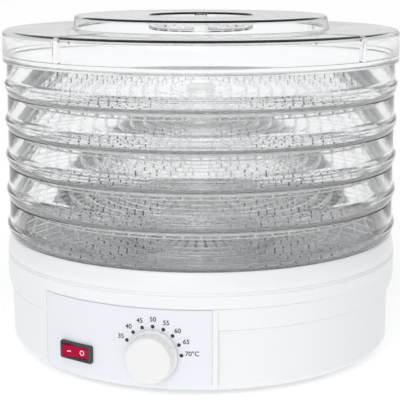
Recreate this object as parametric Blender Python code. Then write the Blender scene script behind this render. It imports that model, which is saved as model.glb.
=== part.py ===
"""Round five-tray food dehydrator: white base with fan heater, clear trays and a clear lid.

Units are metres. Z is up, the front of the machine faces -Y, and the origin is the middle of the
footprint at the height the feet stand on. Azimuths are measured round the upright axis from the
front, positive towards +X, in degrees.
"""

import math

import bmesh
import bpy
import numpy as np
from mathutils import Matrix, Vector

MM = 0.001

# The machine
SPOKES = 8                 # spokes of a tray floor, and the repeat of every large round piece
SPOKE_ANGLE = 2.5
PANES = 4                  # facets between two spokes
BASE_TOP = 96.5            # rim the lowest tray stands on
TRAY_PITCH = 29.0
TRAY_COUNT = 5
LID_SEAT = BASE_TOP + TRAY_COUNT * TRAY_PITCH
LIP_GAP = 0.3              # play between stacked rims

# Base
DECK_TOP = 86.0
DECK_THICK = 2.4
OUTLET_RADIUS = 60.0
COVER_RADIUS = 146.0
COVER_BOTTOM = 4.3
COVER_TOP = 6.8
POST_RADIUS = 128.0
POST_AZIMUTHS = (40.0, 140.0, 220.0, 310.0)
FOOT_RADIUS = 112.0
FOOT_AZIMUTHS = (45.0, 135.0, 225.0, 315.0)
RECESS_FROM = 4.3
RECESS_TO = 160.0
RECESS_TOP = 52.5
CREASE_HEIGHT = 69.6       # where the collar steps out over the lower wall
GRIPS = ((67.5, 112.5), (247.5, 292.5))    # hand grips below the collar

# Control panel
PANEL_FROM = -47.3
PANEL_TO = 2.9
PANEL_OUTER = 162.8
PANEL_INNER = 160.6
PANEL_LOW = 9.5
PANEL_HIGH = 68.6
SWITCH_AZIMUTH = -35.3
SWITCH_HEIGHT = 27.6
KNOB_AZIMUTH = -12.8
KNOB_HEIGHT = 33.4
KNOB_REST_ANGLE = 66.0     # pointer at the 65 degree mark, clockwise from the top
ROCKER_TILT = 10.0         # half of the switch travel

# Fan and heater
DUCT_RADIUS = 57.5
DUCT_FLANGE = 72.4
DUCT_SCREW_RADIUS = 64.6
DUCT_AZIMUTHS = (30.0, 150.0, 270.0)
FAN_RADIUS = 53.5
FAN_BLADES = 7
SHAFT_RADIUS = 2.0


def clear_scene():
    for thing in list(bpy.data.objects):
        bpy.data.objects.remove(thing, do_unlink=True)


def material(name, colour, metallic=0.0, roughness=0.5, alpha=1.0):
    made = bpy.data.materials.new(name)
    made.use_nodes = True
    shader = made.node_tree.nodes["Principled BSDF"]
    shader.inputs["Base Color"].default_value = (*colour, 1.0)
    shader.inputs["Metallic"].default_value = metallic
    shader.inputs["Roughness"].default_value = roughness
    shader.inputs["Alpha"].default_value = alpha
    made.diffuse_color = (*colour, alpha)
    return made


def add_object(name, verts, faces):
    """Make an object from points in millimetres and face loops, with its faces turned outwards."""
    mesh = bpy.data.meshes.new(name)
    mesh.from_pydata([tuple(v * MM for v in p) for p in verts], [], faces)
    grown = bmesh.new()
    grown.from_mesh(mesh)
    bmesh.ops.recalc_face_normals(grown, faces=grown.faces)
    grown.to_mesh(mesh)
    grown.free()
    made = bpy.data.objects.new(name, mesh)
    bpy.context.scene.collection.objects.link(made)
    return made


def polar(radius, azimuth, z):
    a = math.radians(azimuth)
    return (radius * math.sin(a), -radius * math.cos(a), z)


def ring_azimuths():
    """Azimuths of the corners shared by every large round piece, so that their facets line up."""
    sector = 360.0 / SPOKES
    pane = (sector - SPOKE_ANGLE) / PANES
    out = []
    for s in range(SPOKES):
        start = s * sector - SPOKE_ANGLE / 2
        out.append(start)
        for p in range(PANES):
            out.append(start + SPOKE_ANGLE + p * pane)
    return out


def even_azimuths(count, start=0.0):
    return [start + 360.0 * i / count for i in range(count)]


def revolve(name, profile, azimuths):
    """Turn a closed loop of (radius, height) points round the axis; radius 0 becomes a single point."""
    verts = []
    rows = []
    for radius, z in profile:
        if radius < 1e-6:
            rows.append([len(verts)] * len(azimuths))
            verts.append((0.0, 0.0, z))
        else:
            rows.append(list(range(len(verts), len(verts) + len(azimuths))))
            verts.extend(polar(radius, a, z) for a in azimuths)
    faces = []
    n = len(azimuths)
    for i, low in enumerate(rows):
        high = rows[(i + 1) % len(rows)]
        for j in range(n):
            k = (j + 1) % n
            loop = []
            for corner in (low[j], low[k], high[k], high[j]):
                if corner not in loop:
                    loop.append(corner)
            if len(loop) > 2:
                faces.append(loop)
    return add_object(name, verts, faces)


def spread(start, end, steps):
    return [start + (end - start) * i / steps for i in range(steps + 1)]


def shared_azimuths(start, end):
    """The two ends and every shared corner between them."""
    inner = [a for a in ring_azimuths() if start + 0.2 < a < end - 0.2]
    return [start] + inner + [end]


def sector(name, profile, azimuths):
    """A part turn of a closed profile through the given azimuths, with both ends capped."""
    verts = []
    for a in azimuths:
        verts.extend(polar(r, a, z) for r, z in profile)
    steps = len(azimuths) - 1
    n = len(profile)
    faces = [list(range(n)), [steps * n + j for j in range(n)]]
    for i in range(steps):
        for j in range(n):
            k = (j + 1) % n
            faces.append([i * n + j, i * n + k, (i + 1) * n + k, (i + 1) * n + j])
    return add_object(name, verts, faces)


def box(name, low, high):
    x0, y0, z0 = low
    x1, y1, z1 = high
    verts = [(x, y, z) for z in (z0, z1) for x, y in ((x0, y0), (x1, y0), (x1, y1), (x0, y1))]
    faces = [[0, 1, 2, 3], [4, 5, 6, 7], [0, 1, 5, 4], [1, 2, 6, 5], [2, 3, 7, 6], [3, 0, 4, 7]]
    return add_object(name, verts, faces)


def prism(name, outline, z0, z1):
    n = len(outline)
    verts = [(x, y, z0) for x, y in outline] + [(x, y, z1) for x, y in outline]
    faces = [list(range(n)), list(range(n, 2 * n))]
    faces += [[i, (i + 1) % n, n + (i + 1) % n, n + i] for i in range(n)]
    return add_object(name, verts, faces)


def cylinder(name, radius, z0, z1, sides, centre=(0.0, 0.0)):
    outline = [(centre[0] + radius * math.cos(2 * math.pi * i / sides),
                centre[1] + radius * math.sin(2 * math.pi * i / sides)) for i in range(sides)]
    return prism(name, outline, z0, z1)


def tube(name, path, radius, sides=6):
    """A round wire along a path of points in millimetres."""
    points = [Vector(p) for p in path]
    verts = []
    side = None
    for i, here in enumerate(points):
        before = points[max(i - 1, 0)]
        after = points[min(i + 1, len(points) - 1)]
        along = (after - before).normalized()
        if side is None:
            side = along.cross(Vector((0.3, 0.2, 1.0))).normalized()
        side = (side - along * side.dot(along)).normalized()
        up = along.cross(side)
        for s in range(sides):
            turn = 2 * math.pi * s / sides
            verts.append(tuple(here + radius * (math.cos(turn) * side + math.sin(turn) * up)))
    faces = [list(range(sides)), [(len(points) - 1) * sides + s for s in range(sides)]]
    for i in range(len(points) - 1):
        for s in range(sides):
            t = (s + 1) % sides
            faces.append([i * sides + s, i * sides + t, (i + 1) * sides + t, (i + 1) * sides + s])
    return add_object(name, verts, faces)


def rounded(corners, radius, steps=3):
    """The path through the corners with each inner corner turned on a curve."""
    points = [Vector(c) for c in corners]
    out = [points[0]]
    for i in range(1, len(points) - 1):
        before = (points[i - 1] - points[i])
        after = (points[i + 1] - points[i])
        cut = min(radius, before.length / 2.2, after.length / 2.2)
        p = points[i] + before.normalized() * cut
        q = points[i] + after.normalized() * cut
        for s in range(steps + 1):
            t = s / steps
            out.append(p * (1 - t) ** 2 + points[i] * 2 * t * (1 - t) + q * t ** 2)
    out.append(points[-1])
    return out


def combine(base, other, how):
    """Join or cut two closed bodies and drop the second."""
    change = base.modifiers.new(how, "BOOLEAN")
    change.operation = how
    change.solver = "EXACT"
    change.object = other
    bpy.context.view_layer.update()
    graph = bpy.context.evaluated_depsgraph_get()
    mesh = bpy.data.meshes.new_from_object(base.evaluated_get(graph))
    base.modifiers.clear()
    old = base.data
    base.data = mesh
    bpy.data.meshes.remove(old)
    bpy.data.objects.remove(other, do_unlink=True)
    return base


def join(base, *others):
    for other in others:
        combine(base, other, "UNION")
    return base


def cut(base, *others):
    for other in others:
        combine(base, other, "DIFFERENCE")
    return base


def panel_frame(azimuth, radius, height):
    """Place a piece drawn with +Z outwards, +X to the viewer's right and +Y up on the base's wall."""
    a = math.radians(azimuth)
    out = Vector((math.sin(a), -math.cos(a), 0.0))
    right = Vector((math.cos(a), math.sin(a), 0.0))
    up = Vector((0.0, 0.0, 1.0))
    turn = Matrix((right, up, out)).transposed().to_4x4()
    return Matrix.Translation(out * radius * MM + up * height * MM) @ turn


def bake(thing, matrix):
    thing.data.transform(matrix)
    thing.data.update()
    return thing


def origin_at(thing, matrix):
    """Give a moving piece its own frame without moving its surface."""
    thing.data.transform(matrix.inverted())
    thing.matrix_world = matrix
    return thing


def dress(thing, look):
    thing.data.materials.clear()
    thing.data.materials.append(look)
    return thing


# --- clear pieces -------------------------------------------------------------------------------


TRAY_WALL = (
    (157.6, -2.8), (157.6, 0.3), (161.5, 0.3), (164.0, 5.5), (164.0, 10.5), (161.8, 13.0),
    (161.8, 29.0), (159.6, 29.0), (159.6, 2.5), (155.0, -1.0),
)
FLOOR_ROWS = (155.0, 130.0, 127.8, 92.0, 89.8)    # ring, slot, ring, slot, hub
AIR_SLOT = 2.2                                     # width of every straight air slot


def tray(name, seat):
    """Wall, nesting spigot and spoked floor of one tray, standing on a rim at the given height."""
    azimuths = ring_azimuths()
    n = len(azimuths)
    per = PANES + 1
    verts = []
    wall = []
    for radius, z in TRAY_WALL:
        wall.append(len(verts))
        verts.extend(polar(radius, a, seat + z) for a in azimuths)
    top = [wall[-1]]
    low = [wall[0]]
    for radius in FLOOR_ROWS[1:]:
        top.append(len(verts))
        verts.extend(polar(radius, a, seat - 1.0) for a in azimuths)
    for radius in FLOOR_ROWS[1:]:
        low.append(len(verts))
        verts.extend(polar(radius, a, seat - 2.8) for a in azimuths)
    faces = []

    def quad(row_a, row_b, j):
        k = (j + 1) % n
        faces.append([row_a + j, row_a + k, row_b + k, row_b + j])

    for i in range(len(wall) - 1):
        for j in range(n):
            quad(wall[i], wall[i + 1], j)
    for row in range(len(FLOOR_ROWS) - 1):
        window = row in (1, 3)
        for j in range(n):
            if not window or j % per == 0:
                quad(top[row], top[row + 1], j)
                quad(low[row], low[row + 1], j)
            if window and j % per != 0:
                quad(top[row], low[row], j)
                quad(top[row + 1], low[row + 1], j)
            if window and j % per in (0, 1):
                faces.append([top[row] + j, top[row + 1] + j, low[row + 1] + j, low[row] + j])
    faces.append([top[-1] + j for j in range(n)])
    faces.append([low[-1] + j for j in range(n)])
    return add_object(name, verts, faces)


def lid():
    z = LID_SEAT
    profile = (
        (162.7, z - 2.0), (165.0, z - 2.0), (165.0, 261.5), (164.1, 264.1), (161.5, 265.0),
        (107.0, 265.0), (105.6, 274.6), (104.0, 276.0), (43.6, 276.0), (42.4, 274.6),
        (41.6, 264.6), (0.0, 264.6), (0.0, 262.6), (43.4, 262.6), (44.7, 274.0),
        (103.4, 274.0), (104.8, 263.0), (162.7, 262.6), (162.7, z + 3.8), (159.0, z + 3.8),
        (159.0, z + 0.3), (162.7, z + 0.3),
    )
    shell = revolve("lid", profile, ring_azimuths())
    grip = prism("grip", [(-5.5, -44.0), (5.5, -44.0), (5.5, 44.0), (-5.5, 44.0)], 263.6, 275.4)
    shell = join(shell, grip)
    for side in (-1, 1):
        for lane in range(3):
            x = side * (15.0 + 7.5 * lane)
            half = 18.0 - 4.5 * lane
            slot = box("vent", (x - AIR_SLOT / 2, -half, 260.0), (x + AIR_SLOT / 2, half, 266.0))
            shell = cut(shell, slot)
    return shell


# --- base ---------------------------------------------------------------------------------------


def base_housing():
    profile = (
        (147.0, 4.0), (151.5, 4.0), (156.5, 5.8), (159.8, 9.4), (160.9, 14.0), (161.5, CREASE_HEIGHT),
        (164.3, CREASE_HEIGHT + 0.2), (164.3, 80.0), (163.4, 88.0), (161.6, BASE_TOP),
        (159.2, BASE_TOP), (158.4, DECK_TOP + 1.5), (156.0, DECK_TOP), (OUTLET_RADIUS, DECK_TOP - 2.0),
        (OUTLET_RADIUS, DECK_TOP - 2.0 - DECK_THICK), (156.0, DECK_TOP - DECK_THICK),
        (159.4, 81.0), (161.9, 78.0), (161.9, 72.0), (158.8, 69.0), (158.0, 14.0), (155.0, 8.6),
        (147.0, 7.4),
    )
    shell = revolve("base_housing", profile, ring_azimuths())
    grip_profile = ((159.8, 48.6), (160.9, 49.0), (163.6, 56.0), (164.2, 61.0), (164.2, 70.6),
                    (160.9, 70.6))
    for start, end in GRIPS:
        shell = join(shell, sector("grip", grip_profile, shared_azimuths(start, end)))
    pad_profile = ((157.2, 7.2), (160.6, 8.4), (PANEL_OUTER, 13.0), (PANEL_OUTER, 70.6),
                   (160.7, 70.6), (157.2, 61.0))
    pad = sector("pad", pad_profile, spread(PANEL_FROM - 1.2, RECESS_FROM, 12))
    recess = sector("recess", ((159.3, -5.0), (175.0, -5.0), (175.0, RECESS_TOP), (159.3, RECESS_TOP)),
                    shared_azimuths(RECESS_FROM + 0.01, RECESS_TO))
    shell = cut(shell, recess)
    shell = join(shell, pad)
    pocket = sector("pocket", ((PANEL_INNER - 0.3, PANEL_LOW - 0.3), (175.0, PANEL_LOW - 0.3),
                               (175.0, PANEL_HIGH + 0.3), (PANEL_INNER - 0.3, PANEL_HIGH + 0.3)),
                    spread(PANEL_FROM - 0.15, PANEL_TO + 0.15, 12))
    shell = cut(shell, pocket)
    switch_hole = box("hole", (-14.2, -6.7, -14.0), (14.2, 6.7, 10.0))
    shell = cut(shell, bake(switch_hole, panel_frame(SWITCH_AZIMUTH, 160.0, SWITCH_HEIGHT)))
    spindle_hole = cylinder("hole", 5.6, -14.0, 10.0, 16)
    shell = cut(shell, bake(spindle_hole, panel_frame(KNOB_AZIMUTH, 160.0, KNOB_HEIGHT)))
    cord_hole = cylinder("hole", 6.4, -14.0, 14.0, 16)
    shell = cut(shell, bake(cord_hole, panel_frame(180.0, 160.0, 26.0)))
    for azimuth in POST_AZIMUTHS:
        x, y, _ = polar(POST_RADIUS, azimuth, 0.0)
        shell = join(shell, cylinder("post", 5.0, COVER_TOP + 0.3, DECK_TOP - 1.5, 10, (x, y)))
        shell = cut(shell, cylinder("bore", 1.9, 0.0, 26.0, 8, (x, y)))
    for azimuth in DUCT_AZIMUTHS:
        x, y, _ = polar(DUCT_SCREW_RADIUS, azimuth, 0.0)
        shell = join(shell, cylinder("post", 3.8, DUCT_FLANGE + 1.1, DECK_TOP - 3.0, 8, (x, y)))
        shell = cut(shell, cylinder("bore", 1.7, 60.0, 82.2, 8, (x, y)))
    return shell


def bottom_cover():
    azimuths = even_azimuths(32)
    plate = revolve("base_bottom_cover", ((0.0, COVER_BOTTOM), (COVER_RADIUS, COVER_BOTTOM),
                                          (COVER_RADIUS, COVER_TOP), (0.0, COVER_TOP)), azimuths)
    for i in range(16):
        slot = box("slot", (-AIR_SLOT / 2, -62.0, 0.0), (AIR_SLOT / 2, -30.0, 12.0))
        plate = cut(plate, bake(slot, Matrix.Rotation(math.radians(i * 22.5 + 11.25), 4, "Z")))
    for side in (-1, 1):
        plate = join(plate, cylinder("boss", 4.6, COVER_TOP - 1.0, 13.2, 10, (side * 24.0, 0.0)))
        plate = cut(plate, cylinder("bore", 1.75, 8.0, 20.0, 8, (side * 24.0, 0.0)))
    for azimuth in POST_AZIMUTHS:
        x, y, _ = polar(POST_RADIUS, azimuth, 0.0)
        plate = cut(plate, cylinder("bore", 2.3, 0.0, 12.0, 10, (x, y)))
        plate = cut(plate, cylinder("sink", 4.6, 0.0, COVER_BOTTOM + 1.6, 10, (x, y)))
    for azimuth in FOOT_AZIMUTHS:
        x, y, _ = polar(FOOT_RADIUS, azimuth, 0.0)
        plate = cut(plate, cylinder("bore", 3.0, 0.0, 12.0, 10, (x, y)))
    return plate


def foot(name, azimuth):
    profile = ((0.0, 0.0), (8.6, 0.0), (9.6, 1.0), (9.6, 3.2), (8.8, 4.0), (2.7, 4.0), (2.7, 7.1),
               (3.9, 7.5), (2.2, 10.0), (0.0, 10.0))
    made = revolve(name, profile, even_azimuths(10))
    return bake(made, Matrix.Translation(Vector(polar(FOOT_RADIUS, azimuth, 0.0)) * MM))


def self_tapper(name, x, y, head_z, tip_z, head=3.6, shank=1.55, rise=1.6):
    """A pan-head screw driven upwards, or downwards when its tip is below its head."""
    way = 1.0 if tip_z > head_z else -1.0
    profile = ((0.0, head_z), (head * 0.75, head_z), (head, head_z + way * rise * 0.5),
               (head, head_z + way * rise), (shank, head_z + way * rise), (shank, tip_z - way * 2.0),
               (0.0, tip_z))
    made = revolve(name, profile, even_azimuths(8))
    made = cut(made, box("drive", (-head * 0.55, -0.45, head_z - 1.0), (head * 0.55, 0.45, head_z + 0.7))
               if way > 0 else
               box("drive", (-head * 0.55, -0.45, head_z - 0.7), (head * 0.55, 0.45, head_z + 1.0)))
    return bake(made, Matrix.Translation(Vector((x, y, 0.0)) * MM))


def control_panel():
    profile = ((PANEL_INNER, PANEL_LOW), (PANEL_OUTER - 0.6, PANEL_LOW), (PANEL_OUTER, PANEL_LOW + 3.8),
               (PANEL_OUTER, PANEL_HIGH), (PANEL_INNER, PANEL_HIGH))
    plate = sector("control_panel", profile, spread(PANEL_FROM, PANEL_TO, 16))
    hole = box("hole", (-13.9, -6.4, -8.0), (13.9, 6.4, 12.0))
    plate = cut(plate, bake(hole, panel_frame(SWITCH_AZIMUTH, 160.0, SWITCH_HEIGHT)))
    hole = cylinder("hole", 5.2, -8.0, 12.0, 16)
    plate = cut(plate, bake(hole, panel_frame(KNOB_AZIMUTH, 160.0, KNOB_HEIGHT)))
    return plate


# --- switch -------------------------------------------------------------------------------------


def switch_pieces():
    place = panel_frame(SWITCH_AZIMUTH, 163.1, SWITCH_HEIGHT)
    body = box("switch_housing", (-13.4, -5.9, -22.0), (13.4, 5.9, 1.0))
    bezel_outline = []
    for cx, cy, start in ((13.7, 5.2, 0), (-13.7, 5.2, 90), (-13.7, -5.2, 180), (13.7, -5.2, 270)):
        for step in range(3):
            a = math.radians(start + 45.0 * step)
            bezel_outline.append((cx + 1.8 * math.cos(a), cy + 1.8 * math.sin(a)))
    bezel = prism("bezel", bezel_outline, -0.7, 2.0)
    bake(bezel, place)
    behind = sector("behind", ((120.0, -20.0), (163.1, -20.0), (163.1, 90.0), (120.0, 90.0)),
                    spread(SWITCH_AZIMUTH - 8.0, SWITCH_AZIMUTH + 8.0, 6))
    cut(bezel, behind)
    bake(body, place)
    body = join(body, bezel)
    well = box("well", (-11.9, -4.75, -9.5), (11.9, 4.75, 6.0))
    cut(body, bake(well, place))
    for lane in (-9.0, 0.0, 9.0):
        slot = box("slot", (lane - 2.6, -0.75, -30.0), (lane + 2.6, 0.75, -16.0))
        cut(body, bake(slot, place))
    tilt = math.radians(ROCKER_TILT)
    side = ((-11.2, 3.2), (0.0, 1.4), (11.2, 3.2), (10.6, -1.4), (4.0, -5.0), (-4.0, -5.0), (-10.6, -1.4))
    outline = []
    for x, z in side:
        outline.append((x * math.cos(tilt) + z * math.sin(tilt), -x * math.sin(tilt) + z * math.cos(tilt)))
    rocker = prism("switch_rocker", outline, -4.4, 4.4)
    lay = Matrix(((1, 0, 0, 0), (0, 0, -1, 0), (0, 1, 0, 0), (0, 0, 0, 1)))
    bake(rocker, place @ lay)
    pivot = panel_frame(SWITCH_AZIMUTH, 163.1, SWITCH_HEIGHT)
    origin_at(rocker, pivot)
    blades = []
    for label, lane in (("line", -9.0), ("load", 0.0), ("neutral", 9.0)):
        blade = box("switch_terminal_" + label, (lane - 2.3, -0.4, -30.0), (lane + 2.3, 0.4, -16.6))
        blades.append(bake(blade, place))
    return body, rocker, blades


# --- thermostat and knob ------------------------------------------------------------------------


def knob_pieces():
    place = panel_frame(KNOB_AZIMUTH, PANEL_OUTER, KNOB_HEIGHT)
    profile = ((0.0, 14.6), (16.2, 14.6), (17.4, 13.6), (17.9, 3.6), (19.6, 2.4), (19.8, 0.8),
               (17.2, 0.8), (16.0, 12.0), (6.5, 12.4), (6.3, 3.2), (0.0, 3.2))
    knob = revolve("knob", profile, even_azimuths(28))
    pointer = box("pointer", (-0.8, 17.0, 1.6), (0.8, 19.2, 4.6))
    bake(pointer, Matrix.Rotation(-math.radians(KNOB_REST_ANGLE), 4, "Z"))
    knob = join(knob, pointer)
    bore = cylinder("bore", 3.3, 1.0, 11.0, 12)
    cut(knob, bore)
    bake(knob, place)
    origin_at(knob, place)
    spindle = cylinder("thermostat_spindle", 2.95, -14.6, 10.6, 12)
    flat = box("flat", (1.9, -5.0, 3.5), (6.0, 5.0, 12.0))
    cut(spindle, flat)
    bake(spindle, place)
    origin_at(spindle, place)
    bushing = revolve("thermostat_bushing", ((3.3, -8.5), (8.0, -8.5), (8.0, -6.3), (4.5, -6.3),
                                             (4.5, 2.4), (3.3, 2.4)), even_azimuths(14))
    bake(bushing, place)
    hexagon = [(7.4 * math.cos(math.radians(60 * i)), 7.4 * math.sin(math.radians(60 * i))) for i in range(6)]
    nut = prism("thermostat_nut", hexagon, 0.4, 2.3)
    cut(nut, cylinder("bore", 4.85, -1.0, 4.0, 14))
    bake(nut, place)
    frame = box("thermostat_body", (-13.0, -10.0, -22.0), (13.0, 10.0, -8.8))
    cut(frame, cylinder("bore", 3.4, -16.0, -6.0, 12))
    cut(frame, box("notch", (-9.0, -12.0, -19.0), (20.0, -6.0, -12.0)))
    bake(frame, place)
    strip = box("thermostat_bimetal", (-8.6, -8.6, -15.8), (19.0, -7.6, -15.0))
    bake(strip, place)
    return knob, spindle, bushing, nut, frame, strip


# --- motor and fan ------------------------------------------------------------------------------


def motor_pieces():
    stator = box("motor_stator", (-32.0, -19.0, 15.8), (32.0, 46.0, 33.9))
    cut(stator, cylinder("bore", 14.2, 10.0, 40.0, 20))
    cut(stator, box("yoke", (-18.5, 17.5, 10.0), (18.5, 33.5, 40.0)))
    for side in (-1, 1):
        cut(stator, cylinder("bore", 2.2, 10.0, 40.0, 8, (side * 24.0, 0.0)))
    coil = box("motor_coil", (-13.5, 26.0, 11.5), (13.5, 53.5, 38.5))
    cut(coil, box("core", (-20.0, 33.2, 15.5), (20.0, 46.3, 34.2)))
    rotor = cylinder("motor_rotor", 13.6, 17.0, 33.0, 20)
    cut(rotor, cylinder("bore", SHAFT_RADIUS + 0.15, 10.0, 40.0, 12))
    shaft = cylinder("motor_shaft", SHAFT_RADIUS, 12.2, 63.0, 12)
    brackets = []
    for label, low, high in (("lower", 13.5, 15.5), ("upper", 34.2, 36.2)):
        bracket = box("motor_bracket_" + label, (-30.0, -8.5, low), (30.0, 8.5, high))
        if label == "lower":
            cup = cylinder("cup", 7.0, 10.6, 14.5, 14)
        else:
            cup = cylinder("cup", 7.0, 35.0, 40.0, 14)
        join(bracket, cup)
        depth = (11.6, 20.0) if label == "lower" else (30.0, 45.0)
        cut(bracket, cylinder("bore", SHAFT_RADIUS + 0.4, depth[0], depth[1], 12))
        for side in (-1, 1):
            cut(bracket, cylinder("bore", 2.2, 10.0, 45.0, 8, (side * 24.0, 0.0)))
        brackets.append(bracket)
    return stator, coil, rotor, shaft, brackets


def fan():
    hub = revolve("fan_impeller", ((SHAFT_RADIUS + 0.15, 44.0), (12.0, 44.0), (12.0, 56.0),
                                   (10.5, 57.6), (SHAFT_RADIUS + 0.15, 57.6)), even_azimuths(21))
    for i in range(FAN_BLADES):
        verts = []
        for radius, pitch in ((10.5, 38.0), (32.0, 28.0), (FAN_RADIUS, 20.0)):
            chord = 8.0 + radius * 0.42
            rise = math.sin(math.radians(pitch)) * chord / 2
            run = math.cos(math.radians(pitch)) * chord / 2
            for along, up in ((-run, -rise), (run, rise)):
                for thick in (-0.8, 0.8):
                    verts.append((along, -radius, 50.8 + up * 0.62 + thick))
        faces = [[0, 1, 3, 2], [8, 9, 11, 10]]
        for row in (0, 4):
            faces.append([row, row + 2, row + 6, row + 4])
            faces.append([row + 1, row + 3, row + 7, row + 5])
            faces.append([row, row + 1, row + 5, row + 4])
            faces.append([row + 2, row + 3, row + 7, row + 6])
        blade = add_object("blade", verts, faces)
        bake(blade, Matrix.Rotation(math.radians(360.0 * i / FAN_BLADES), 4, "Z"))
        join(hub, blade)
    return hub


def fan_clip():
    return revolve("fan_clip", ((SHAFT_RADIUS + 0.1, 58.0), (5.6, 58.0), (5.6, 59.0),
                                (3.4, 60.0), (SHAFT_RADIUS + 0.1, 60.0)), even_azimuths(12))


# --- heater -------------------------------------------------------------------------------------


HEATER_LOW = 63.5
HEATER_HIGH = 81.0
HEATER_HALF = 56.8
COIL_RADIUS = 49.3
COIL_TURNS = 3
COIL_START = 65.6
COIL_PITCH = 4.2


def coil_height(azimuth):
    return COIL_START + COIL_PITCH * azimuth / 360.0


def heater_boards():
    long_board = box("heater_board_long", (-HEATER_HALF, -0.6, HEATER_LOW), (HEATER_HALF, 0.6, HEATER_HIGH))
    cut(long_board, box("slit", (-0.95, -3.0, 72.2), (0.95, 3.0, 90.0)))
    cross_board = box("heater_board_cross", (-0.6, -HEATER_HALF, HEATER_LOW), (0.6, HEATER_HALF, HEATER_HIGH))
    cut(cross_board, box("slit", (-3.0, -0.95, 60.0), (3.0, 0.95, 72.5)))
    for turn in range(COIL_TURNS):
        for azimuth, board in ((90.0, long_board), (270.0, long_board), (180.0, cross_board), (360.0, cross_board)):
            x, y, z = polar(COIL_RADIUS - 0.4, azimuth, coil_height(azimuth + 360.0 * turn))
            cut(board, box("eye", (x - 1.5, y - 1.5, z - 1.4), (x + 1.5, y + 1.5, z + 1.4)))
    return long_board, cross_board


def heater_coil():
    path = []
    for i in range(COIL_TURNS * 18):
        azimuth = 20.0 * i + 10.0
        path.append(polar(COIL_RADIUS, azimuth, coil_height(azimuth)))
    return tube("heater_coil", path, 0.9, 5)


def heat_duct():
    inner = DUCT_RADIUS
    outer = DUCT_RADIUS + 0.8
    profile = ((inner, 42.0), (outer, 42.0), (outer, DUCT_FLANGE), (69.0, DUCT_FLANGE),
               (69.0, DUCT_FLANGE + 0.8), (outer, DUCT_FLANGE + 0.8), (outer, 81.2), (inner, 81.2))
    duct = revolve("heat_duct", profile, even_azimuths(32))
    for azimuth in DUCT_AZIMUTHS:
        x, y, _ = polar(DUCT_SCREW_RADIUS, azimuth, 0.0)
        cut(duct, cylinder("bore", 1.9, DUCT_FLANGE - 3.0, DUCT_FLANGE + 3.0, 8, (x, y)))
    return duct


def outlet_grille():
    z = DECK_TOP - 1.6
    plate = revolve("outlet_grille", ((0.0, z), (66.0, z), (66.0, z + 2.2), (62.0, z + 3.2), (0.0, z + 3.2)),
                    even_azimuths(32))
    for inner, outer, count in ((14.0, 32.0, 8), (37.0, 57.0, 20)):
        for i in range(count):
            slot = box("slot", (-AIR_SLOT / 2, -outer, z - 5.0), (AIR_SLOT / 2, -inner, z + 8.0))
            cut(plate, bake(slot, Matrix.Rotation(2.0 * math.pi * (i + 0.5) / count, 4, "Z")))
    return plate


# --- electrics ----------------------------------------------------------------------------------


def electrics():
    block = box("terminal_block", (-18.0, 102.0, 7.1), (18.0, 118.0, 21.0))
    for lane in (-11.0, 0.0, 11.0):
        cut(block, cylinder("bore", 2.0, 14.0, 30.0, 8, (lane, 110.0)))
    fuse = tube("thermal_fuse", ((-20.0, -63.5, 56.0), (-6.0, -63.5, 56.0)), 2.4, 8)
    gland = revolve("cord_gland", ((0.0, -9.0), (6.0, -9.0), (6.0, 1.0), (9.0, 1.0), (9.0, 2.4), (6.6, 3.4),
                                   (5.0, 11.4), (3.6, 11.4), (3.6, 4.0), (0.0, 4.0)), even_azimuths(16))
    bake(gland, panel_frame(180.0, 160.2, 26.0))
    return block, fuse, gland


def wires():
    made = []
    switch = panel_frame(SWITCH_AZIMUTH, 163.1, SWITCH_HEIGHT)
    knob = panel_frame(KNOB_AZIMUTH, PANEL_OUTER, KNOB_HEIGHT)

    def at(frame, x, y, z):
        return tuple(c / MM for c in frame @ (Vector((x, y, z)) * MM))

    made.append(tube("wire_block_to_switch", rounded((
        (-11.0, 101.6, 14.0), (-11.0, 90.0, 14.0), (-40.0, 84.0, 14.0), (-96.0, 40.0, 14.0), (-100.0, -60.0, 16.0),
        at(switch, -9.0, 0.0, -40.0), at(switch, -9.0, 0.0, -30.6)), 14.0), 1.2))
    made.append(tube("wire_switch_to_thermostat", rounded((
        at(switch, 0.0, 0.0, -30.6), at(switch, 2.0, 2.0, -44.0), at(knob, -30.0, 0.0, -50.0),
        at(knob, -6.0, 0.0, -34.0), at(knob, -6.0, 0.0, -26.6)), 10.0), 1.2))
    made.append(tube("wire_thermostat_to_fuse", rounded((
        at(knob, 6.0, 0.0, -26.6), at(knob, 6.0, 4.0, -50.0), (-2.0, -90.0, 56.0),
        (-2.0, -63.5, 56.0), (-5.4, -63.5, 56.0)), 8.0), 1.2))
    made.append(tube("wire_fuse_to_block", rounded((
        (-20.6, -63.5, 56.0), (-52.0, -60.0, 50.0), (-74.0, 0.0, 30.0), (-60.0, 84.0, 18.0),
        (0.0, 88.0, 18.0), (0.0, 96.0, 14.0), (0.0, 101.6, 14.0)), 14.0), 1.2))
    return made


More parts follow.
